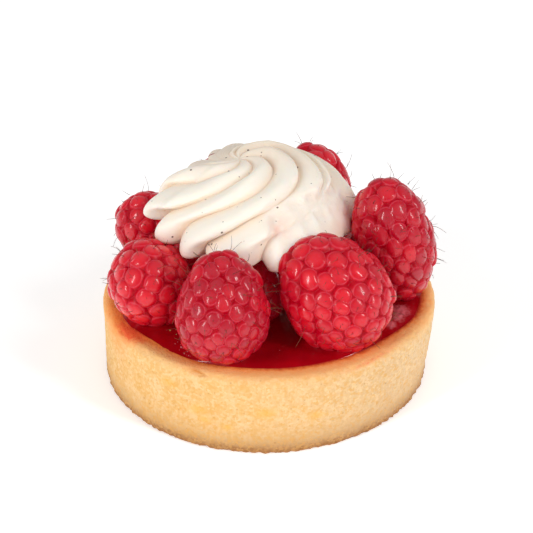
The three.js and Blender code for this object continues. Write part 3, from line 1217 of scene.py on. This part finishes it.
BERRIES = (
    Raspberry("berry_back_left", (-24.9, 12.1, 25.9), (7.8, 9.4), 0.14, (215, 55), 70, 0.5, 11, 0.4),
    Raspberry("berry_front_left", (-24.2, -11, 25.9), (9.1, 9.5), 0.12, (262, 32), 80, 0.7, 23, 0.2),
    Raspberry(
        "berry_front", (-9.2, -22.4, 27.4), (9.3, 11.7), 0.17, (95, 72), 124, 0.8, 36, 0.75,
        ((-10.5, -26.3, 37.9), 3.0, 1.5),
    ),
    Raspberry("berry_front_right", (13, -16.8, 27.6), (10.6, 13.1), 0.16, (158, 49), 128, 1.5, 47, 0.4),
    Raspberry("berry_right", (25.8, -0.4, 30.3), (8.8, 13.9), 0.06, (165, 79), 104, 0.5, 59, 0.7),
    Raspberry("berry_back_right", (10.2, 20.6, 28.7), (8.6, 12.0), 0.12, (110, 78), 82, 0.5, 61),
    Raspberry("berry_back", (-10.6, 20.4, 27.0), (7.4, 10.8), 0.12, (100, 76), 50, 0.4, 73),
    Raspberry("berry_inner_left", (-13.9, 3.6, 24.0), (6.2, 7.8), 0.1, (200, 62), 36, 0.3, 85),
    Raspberry("berry_inner", (-2.7, -8.7, 23.0), (6.2, 7.2), 0.1, (60, 78), 36, 0.3, 97),
)


@dataclass(frozen=True)
class StyleHairs:
    """The dry styles that stand on a share of the beads, all as one mesh of thin bent tubes."""

    share: float = 0.7
    copies: int = 2
    spacing: float = 0.5
    length: Pair = (0.7, 2.2)
    thickness: Pair = (0.055, 0.03)
    sides: int = 4
    steps: int = 8
    lean: float = 1.1
    bend: float = 3.4

    def hair(self, root: Array, out: Array, draw: Array) -> Array:
        """Lays out one hair.

        Args:
            root: Where it stands.
            out: The way the bead faces.
            draw: Random numbers from 0 to 1 for its lean, bend and length.

        Returns:
            The points of its rings, one ring after another.
        """
        way = unit(out + (draw[0:3] - 0.5) * self.lean)
        curl = (draw[3:6] - 0.5) * self.bend
        length = mix(self.length, draw[6] ** 1.5)
        turns = around(self.sides)
        rings = []
        for step in range(self.steps + 1):
            share = step / self.steps
            middle = root + way * length * share + curl * length * share**2 * 0.5
            along = unit(way + curl * share)
            aside = unit(np.cross(along, (0.3, 0.5, 0.81)))
            circle = np.outer(np.cos(turns), aside) + np.outer(np.sin(turns), np.cross(along, aside))
            rings.append(middle + mix(self.thickness, share) * circle)
        return np.vstack(rings)

    def build(self, berries: Sequence[Raspberry]) -> Piece:
        """Makes all hairs.

        Args:
            berries: The berries that they stand on.

        Returns:
            The piece.
        """
        draws = np.random.default_rng(7)
        points, faces = [], []
        first = 0
        for berry in berries:
            for root, out in (pair for pair in zip(*berry.roots()) for _ in range(self.copies)):
                draw = draws.random(8)
                if draw[7] > self.share or out[2] < -0.4:
                    continue
                points.append(self.hair(root + (draw[3:6] - 0.5) * self.spacing, out, draw))
                faces += flipped(tube_faces(self.steps + 1, self.sides, first))
                first += (self.steps + 1) * self.sides
        return make_piece("berry_hairs", np.vstack(points), faces)

    def dress(self, berries: Sequence[Raspberry]) -> None:
        """Builds the hairs of some berries, dry and brown."""
        dress_piece(self.build(berries), HairFinish().material(), Slot.RASPBERRY)


# ---- jam


@dataclass(frozen=True)
class JamFilling:
    """The jam, level in the case, its edge let into the dough and drawn up round the berries.

    Climb is how high it is drawn up at a berry, and how fast that falls off. Pulps are heaps of
    crushed flesh, as (x, y, size), a heap is so high and so rough, glow is a painted pool of light at
    the left front, and edge glow is the painted light that brightens the jam towards the case's edge.
    """

    level: float = 17.78
    overlap: float = 0.9
    ripple: float = 0.07
    climb: Pair = (0.75, 0.55)
    floor: float = 3.8
    columns: int = 420
    rows: int = 110
    pulps: tuple[Place, ...] = ((27.4, -9.2, 3.0), (26.6, -11.6, 2.2), (25.0, -14.4, 2.0))
    glow: Place = (-19.0, -20.0, 9.0)
    edge_glow: float = 0.4
    heap: Pair = (0.7, 0.35)

    def shore(self, points: Array, berry: Raspberry) -> Array:
        """Finds how far places are from a berry.

        Args:
            points: Places at the jam's level.
            berry: The berry.

        Returns:
            Their distances from its skin in millimetres, below 0 inside it.
        """
        own = (points - np.array(berry.at)) @ berry.pose()
        across, turn = polar(own)
        body = berry.skin(np.arctan2(across / berry.half[0], own[:, 2] / berry.half[1]), turn, 0.0)
        return span(own, 0) - span(body, 0)

    def build(self, berries: Sequence[Raspberry], case: ShortcrustCase) -> Piece:
        """Makes the jam's mesh.

        Args:
            berries: The berries that stand in it.
            case: The case that holds it.

        Returns:
            The piece.
        """
        share = (np.arange(self.rows) + 1) / self.rows
        turns = around(self.columns, -math.pi)
        edge = case.inner.at(np.degrees(turns)) + self.overlap
        radius = (1 - (1 - share) ** 1.25)[:, None] * edge
        top = turned(radius, turns, self.level)
        inside = (edge - radius).ravel()
        height = self.ripple * grain(top, 5.0, 21)
        for berry in berries:
            away = self.shore(top, berry)
            height += self.climb[0] * np.exp(-np.maximum(away, 0) / self.climb[1]) * (away > -1.5)
        pulp = np.zeros(len(top))
        for x, y, size in self.pulps:
            pulp = np.maximum(pulp, hump(np.hypot((top[:, 0] - x) / 0.8, top[:, 1] - y), size))
        top[:, 2] += height + pulp * (self.heap[0] + self.heap[1] * grain(top, 0.9, 23))
        under = edge - np.array([[0.1], [0.5], [2.0]])
        depths = np.array([[self.level - 1], [self.floor + 1.4], [self.floor]])
        side = turned(under, turns, depths)
        points = np.vstack([top, side, [[0, 0, self.level]], [[0, 0, self.floor]]])
        faces = closed_faces(self.rows + len(under), self.columns)
        rest = np.zeros(len(side) + 2)
        # painted light: a pool of light at the left front, and a brightening towards the case's edge
        glow = hump(span(top[:, :2], self.glow[:2]), self.glow[2])
        lit_glow = np.maximum(self.edge_glow * (1 - smoothstep(self.overlap, 5.0, inside)), glow)
        values = {"pulp": np.concatenate([pulp, rest]), "lit_glow": np.concatenate([lit_glow, rest])}
        return make_piece("jam_filling", points, faces, values)

    def dress(self, berries: Sequence[Raspberry], case: ShortcrustCase) -> None:
        """Builds the jam round some berries in a case, glossy red."""
        dress_piece(self.build(berries, case), JamFinish().material(), Slot.JAM, "jam")


@dataclass(frozen=True)
class JamFroth:
    """Loose pips and froth bubbles on the jam, most by the front berry, all as one mesh.

    Each pip and each bubble is given as (x, y, radius).
    """

    level: float = JamFilling.level
    pips: tuple[Place, ...] = ((-20.2, -16.2, 0.26), (-19.0, -15.9, 0.14), (-18.9, -17.6, 0.13))
    bubbles: tuple[Place, ...] = (
        (-19.0, -21.2, 0.15), (-18.5, -20.5, 0.13), (-17.7, -22.4, 0.26), (-17.3, -22.7, 0.16),
        (-17.0, -24.8, 0.17), (-16.1, -25.6, 0.2), (-15.8, -26.0, 0.15), (-16.4, -24.1, 0.2),
        (-15.6, -24.3, 0.16), (-17.9, -21.5, 0.1), (-16.6, -25.3, 0.1), (-18.1, -23.4, 0.09),
        (2.2, -23.6, 0.08), (19.4, -21.3, 0.12), (20.3, -20.6, 0.15),
    )
    sides: int = 10
    rings: int = 6

    def build(self) -> Piece:
        """Makes the pips and bubbles.

        Returns:
            The piece.
        """
        turns = around(self.sides)
        tilts = (math.pi * (np.arange(self.rings) + 0.5) / self.rings)[:, None]
        ball = turned(np.sin(tilts), turns, np.cos(tilts)) * (1, 1.3, 1)
        balls = self.pips + self.bubbles
        points = np.vstack([ball * size + (x, y, self.level) for x, y, size in balls])
        faces: Faces = []
        for first in range(0, len(points), len(ball)):
            faces += tube_faces(self.rings, self.sides, first)
        pip = np.arange(len(points)) < len(self.pips) * len(ball)
        return make_piece("jam_froth", points, faces, {"pip": pip})

    def dress(self) -> None:
        """Builds them, the pips olive and the bubbles pink."""
        dress_piece(self.build(), FrothFinish().material(), Slot.JAM)


# ---- cream


@dataclass(frozen=True)
class CreamSwirl:
    """The piped swirl: rounded ridges that leave the apex, wind outwards and end in curled lobes.

    The edge tables give, by the azimuth about the swirl's middle, how far out the valleys end and
    how high. Each row of turns starts with the azimuth at which a furrow would leave the edge and
    then says how many degrees it has yet to wind about the apex at each share of the way out. The
    ridge tables give how full the flank is, how far the crests lean towards the next valley, how much
    the lobes at their ends stick out, and how calm the ridges are inside the edge. Smear is where
    they are wiped flat, and the red fleck and the blush of juice have a place each.
    """

    apex: Pair = (-6.1, 9.3)
    middle: Pair = (-4.0, 3.8)
    top: float = 44.1
    crest: float = 0.28
    crest_most: float = 2.2
    foot_radius: float = 8.5
    neck: float = 25.0
    foot: float = 17.4
    curl_drop: float = 2.5
    curl_flatten: float = 0.7
    curl_tuck: float = 0.3
    columns: int = 22
    rows: int = 110
    curl_rows: int = 8
    valleys: tuple[float, ...] = (-188, -167, -148, -127, -110, -78, -28, 0, 32, 64, 94, 122)
    edge_radius: Curve = Curve((
        (-180, 17.6), (-167, 16.8), (-157, 18.2), (-148, 17.4), (-120, 16.6), (-95, 17), (-65, 18.2),
        (-15, 20.8), (25, 20.8), (60, 20), (100, 18.9), (122, 17.6), (147, 15.2), (160, 16.2),
        (172, 17.6), (180, 17.6),
    ))
    edge_height: Curve = Curve((
        (-180, 37.2), (-167, 35.6), (-157, 34.6), (-148, 33.9), (-120, 33.2), (-75, 32.8), (-30, 32.2),
        (0, 32.8), (30, 34.4), (60, 35), (85, 36), (104, 37.1), (122, 35.9), (147, 34.8), (160, 35.8),
        (172, 37), (180, 37.2),
    ))
    shares: tuple[float, ...] = (0, 0.2, 0.4, 0.6, 0.8, 0.92, 1)
    turns: tuple[tuple[float, ...], ...] = (
        (-210, 75, 50, 32, 18, 8, 3, 0),
        (-188, 80, 42, 24, 13, 6, 2, 0),
        (-167, 90, 64, 39, 26, 12, 4, 0),
        (-148, 130, 92, 57, 37, 20, 9, 0),
        (-127, 170, 127, 80, 48, 20, 6, 0),
        (-110, 200, 170, 135, 71, 31, 14, 0),
        (-78, 205, 190, 155, 105, 40, 9, 0),
        (-28, 200, 175, 135, 82, 25, 4, 0),
        (0, 180, 160, 125, 80, 36, 12, 0),
        (32, 155, 135, 105, 70, 36, 14, 0),
        (64, 130, 110, 82, 55, 28, 12, 0),
        (94, 110, 88, 64, 42, 21, 9, 0),
        (122, 90, 70, 50, 32, 16, 7, 0),
        (150, 75, 52, 34, 21, 10, 4, 0),
        (172, 80, 42, 24, 13, 6, 2, 0),
    )
    fullness: Curve = Curve((
        (-180, 1.8), (-120, 2.1), (-70, 2.6), (-10, 2.5), (50, 2.4), (90, 2.2), (140, 1.9), (180, 1.8),
    ))
    lean: Curve = Curve(((-190, 0.0), (-94, -0.06), (-53, -0.34), (-15, 0.0)))
    lobes: Curve = Curve((
        (-212, 0.8), (-178, 1.8), (-157, 5.0), (-138, 2.2), (-130, 2.6), (-90, 2.4), (-60, 1.0),
        (-20, 0.6), (100, 0.8), (148, 0.8),
    ))
    calm: Curve = Curve(((-188, 0.0), (-60, 0.0), (-20, 0.85), (128, 0.9), (150, 0.5), (172, 0.0)))
    droop: float = 0.35
    smear: tuple[Pair, ...] = ((2.5, -9.0), (6.0, -6.2), (9.5, -3.8), (12.5, -0.6), (14.6, 1.8))
    smear_width: float = 3.2
    wiped_ridge: float = 0.1
    wiped_relief: float = 0.35
    soft_relief: float = 0.06
    fleck: Place = (-12.4, 16.1, 39.6)
    blush_at: Place = (1.8, -10.0, 38.0)

    def edge(self, bearing: Array) -> tuple[Array, Array]:
        """Finds the swirl's edge.

        Args:
            bearing: Directions from the apex, in radians.

        Returns:
            How far away the edge is there, and its azimuth about the middle in degrees.
        """
        off_x, off_y = (a - m for a, m in zip(self.apex, self.middle))
        reach = np.full(np.shape(bearing), 20.0)
        azimuth = np.zeros(np.shape(bearing))
        for _ in range(14):
            x = off_x + reach * np.cos(bearing)
            y = off_y + reach * np.sin(bearing)
            azimuth = np.degrees(np.arctan2(y, x))
            reach = reach + 0.8 * (self.edge_radius.at(azimuth) - np.hypot(x, y))
        return reach, azimuth

    def bearing(self, edge_azimuth: Array, share: Array) -> Array:
        """Finds where columns of the skin lie.

        Args:
            edge_azimuth: The azimuths at which they leave the edge, in degrees.
            share: How far out they are asked for, from 0 to 1, one a row.

        Returns:
            Their directions from the apex in radians, a row for each share.
        """
        starts, *lists = zip(*self.turns)
        knots = [Curve(tuple(zip(starts, values))).at(edge_azimuth) for values in lists]
        turned = [Curve(tuple(zip(self.shares, column))).at(share[..., 0]) for column in zip(*knots)]
        return np.radians(edge_azimuth + np.stack(turned, axis=-1))

    def skin(self, bearing: Array, share: Array, lift: Amount, lobe: Amount) -> Array:
        """The swirl's surface.

        Args:
            bearing: The directions from the apex.
            share: How far out they are, from 0 to 1.
            lift: The ridges' height there, in millimetres.
            lobe: How far the lobes stick out there, in millimetres.

        Returns:
            The points, in the arguments' shape with three numbers each.
        """
        reach, azimuth = self.edge(bearing)
        rim = self.edge_height.at(azimuth)
        steep = share ** self.fullness.at(azimuth)
        out = (reach + lobe) * share + lift * steep
        domed = np.sqrt(np.maximum(1 - steep, 0))
        up = rim + (self.top - rim + lift) * domed - self.droop * np.maximum(lobe, 0)
        x = self.apex[0] + out * np.cos(bearing)
        y = self.apex[1] + out * np.sin(bearing)
        return np.stack(np.broadcast_arrays(x, y, up), axis=-1)

    def smeared(self, points: Array) -> Array:
        """Finds where the ridges are wiped flat.

        Args:
            points: Places on the swirl.

        Returns:
            How much they are wiped there, from 0 to 1.
        """
        near = np.zeros(points.shape[:-1])
        for place in self.smear:
            near = np.maximum(near, hump(span(points[..., :2], place), self.smear_width))
        return smoothstep(0.1, 0.75, near)

    def build(self) -> Piece:
        """Makes the swirl's mesh.

        Returns:
            The piece.
        """
        parts = np.arange(self.columns) / self.columns
        starts = np.array(self.valleys, float)
        ends = np.append(starts[1:], starts[0] + 360)
        azimuth = (starts[:, None] + (ends - starts)[:, None] * parts).ravel()
        start, end = np.repeat(starts, self.columns), np.repeat(ends, self.columns)
        across = np.tile(parts, len(starts))

        def crested(share: Array) -> Array:
            """How near a column is to its ridge's crest, which leans over towards the lobes."""
            peak = 0.5 + self.lean.at((start + end) / 2) * smoothstep(0.35, 0.85, share)
            return np.sin(math.pi * across ** (math.log(0.5) / np.log(peak)))

        def surface(share: Array, keep: float) -> Array:
            """Finds the skin with its ridges.

            Args:
                share: How far out, from 0 to 1, one a row.
                keep: How much of their height the ridges keep.

            Returns:
                A row of points for each share.
            """
            bearing = self.bearing(azimuth, share)
            reach, _ = self.edge(bearing)
            turn = np.abs(self.bearing(end, share) - self.bearing(start, share))
            height = np.minimum(self.crest * turn * reach * share, self.crest_most)
            height = height * (1 - self.calm.at(azimuth) * (1 - smoothstep(0.6, 1.0, share)))
            wiped = self.smeared(self.skin(bearing, share, 0.0, 0.0))
            crest = crested(share)
            lobe = self.lobes.at(azimuth) * smoothstep(0.3, 1.0, share) * (crest**0.8 - 0.3)
            left = (1 - (1 - self.wiped_ridge) * wiped) * keep
            return self.skin(bearing, share, height * crest * left, lobe * left)

        shares = (np.arange(self.rows) + 1) / self.rows
        shares = (1 - (1 - shares) ** 1.35)[:, None]
        points = [surface(shares, 1.0).reshape(-1, 3)]
        centre = np.array([*self.middle, 0])
        brink = np.ones((1, 1))
        drop = self.curl_drop * (0.3 + 0.7 * crested(brink)[0] ** 0.6)
        for step in range(1, self.curl_rows + 1):
            angle = math.pi / 2 * step / self.curl_rows
            curled = 1 - math.cos(angle)
            row = surface(brink, 1 - self.curl_flatten * curled)[0]
            under = centre + (row - centre) * (1 - self.curl_tuck * curled)
            under[:, 2] = row[:, 2] - drop * math.sin(angle)
            points.append(under)
        _, about = self.edge(np.radians(azimuth))
        for height in (self.neck, self.foot):
            points.append(turned(self.foot_radius, np.radians(about), height, self.middle))
        skin = np.vstack(points)
        wiped = self.smeared(skin) * (skin[:, 2] > 31)
        soft, rough = grain(skin, 3.0, 31), grain(skin, 2.4, 33)
        skin[:, 2] += self.soft_relief * soft + self.wiped_relief * wiped * rough
        rows = len(skin) // len(azimuth)
        skin = np.vstack([skin, [[*self.apex, self.top]], [[*self.middle, self.foot]]])
        folds = 1 - np.vstack([crested(shares), np.repeat(crested(brink), rows - self.rows, 0)])
        values = {
            # painted shade in the valleys between the ridges
            "valley": np.concatenate([folds.ravel() * (1 - 0.8 * wiped), [0.5, 0.5]]),
            "blush": self.blush(skin),
            # painted shade over the back of the top
            "shade": smoothstep(0.0, 14.0, skin[:, 1]) * smoothstep(36.0, 40.0, skin[:, 2]),
            "fleck": self.flecked(skin),
        }
        return make_piece("cream_swirl", skin, closed_faces(rows, len(azimuth)), values)

    def dress(self) -> None:
        """Builds the swirl in vanilla cream."""
        dress_piece(self.build(), CreamFinish().material(), Slot.CREAM, "cream")

    def flecked(self, points: Array) -> Array:
        """Where the fleck of berry skin lies, which is wider than deep, from 0 to 1."""
        away = (points - self.fleck)[:, :2] / (1.4, 0.5)
        return smoothstep(0.3, 0.6, hump(np.hypot(*away.T), 0.8))

    def blush(self, points: Array) -> Array:
        """Finds how pink the cream is: a stain of the berries' juice, and painted reflected light from
        them low on the left.

        Args:
            points: Places on the swirl.

        Returns:
            The pinkness there, from 0 to 1.
        """
        near = hump(span(points, self.blush_at), 3.0)
        stained = 0.35 * near * (1 + grain(points, 1.4, 35)) + 0.1 * self.smeared(points)
        # painted reflected light: pink bounce from the red berries on the low left side
        low = (1 - smoothstep(30.0, 36.0, points[:, 2])) * (1 - smoothstep(1.0, 9.0, points[:, 0]))
        return np.clip(stained + 0.6 * low, 0, 1)


# ---- studio


@dataclass(frozen=True)
class Softbox:
    """A rectangular soft light: where it hangs and its size in millimetres, its power in watts."""

    name: str
    at: Place
    size: Pair
    power: float

    def hang(self, target: Place) -> None:
        """Hangs it so that it faces a target.

        Args:
            target: The place it faces, in millimetres.
        """
        data = bpy.data.lights.new(self.name, "AREA")
        data.shape = "RECTANGLE"
        data.size, data.size_y = (side * MM for side in self.size)
        data.energy = self.power
        light = bpy.data.objects.new(self.name, data)
        light.location = Vector(self.at) * MM
        light.rotation_euler = (Vector(target) - Vector(self.at)).to_track_quat("-Z", "Y").to_euler()
        bpy.context.scene.collection.objects.link(light)


@dataclass(frozen=True)
class Studio:
    """The camera, the soft lights and the plain floor."""

    camera_place: Place = (-0.47, -395.3, 262.2)
    camera_down: float = 31.14
    focal_in_widths: float = 2200 / 533
    sensor: float = 36.0
    clip: Pair = (0.01, 50.0)
    floor_side: float = 6000.0
    air: float = 0.51
    target: Place = (0.0, 0.0, 20.0)
    softboxes: tuple[Softbox, ...] = (
        Softbox("key_softbox", (-650, -570, 420), (150, 620), 3.8),
        Softbox("fill_softbox", (600, -420, 560), (130, 560), 3.35),
    )

    def camera(self) -> None:
        """Sets the camera up."""
        data = bpy.data.cameras.new("camera")
        data.sensor_width = self.sensor
        data.lens = self.focal_in_widths * self.sensor
        data.clip_start, data.clip_end = self.clip
        camera = bpy.data.objects.new("camera", data)
        camera.location = Vector(self.camera_place) * MM
        camera.rotation_euler = (math.radians(90 - self.camera_down), 0, 0)
        bpy.context.scene.collection.objects.link(camera)
        bpy.context.scene.camera = camera

    def build(self) -> None:
        """Sets the whole studio up."""
        self.camera()
        for softbox in self.softboxes:
            softbox.hang(self.target)
        world = bpy.data.worlds.new("studio_air")
        world.use_nodes = True
        sockets = world.node_tree.nodes["Background"].inputs
        sockets["Color"].default_value = (1, 1, 1, 1)
        sockets["Strength"].default_value = self.air
        bpy.context.scene.world = world
        bpy.context.scene.view_settings.view_transform = "Standard"
        side = self.floor_side / 2
        corners = [(-side, -side, 0), (side, -side, 0), (side, side, 0), (-side, side, 0)]
        floor = make_piece("studio_floor", np.array(corners), [(0, 1, 2, 3)])
        floor.data.materials.append(FloorFinish().material())


# ---- assembly


def main() -> None:
    """Builds the studio, then the tartlet's pieces in order, and notes the sizes."""
    logging.basicConfig(level=logging.INFO, format="%(message)s")
    Studio().build()
    case = ShortcrustCase()
    case.dress()
    JamFilling().dress(BERRIES, case)
    JamFroth().dress()
    skin = BerryFinish().material()
    for berry in BERRIES:
        berry.dress(skin)
    StyleHairs().dress(BERRIES)
    CreamSwirl().dress()


if __name__ == "__main__":
    main()
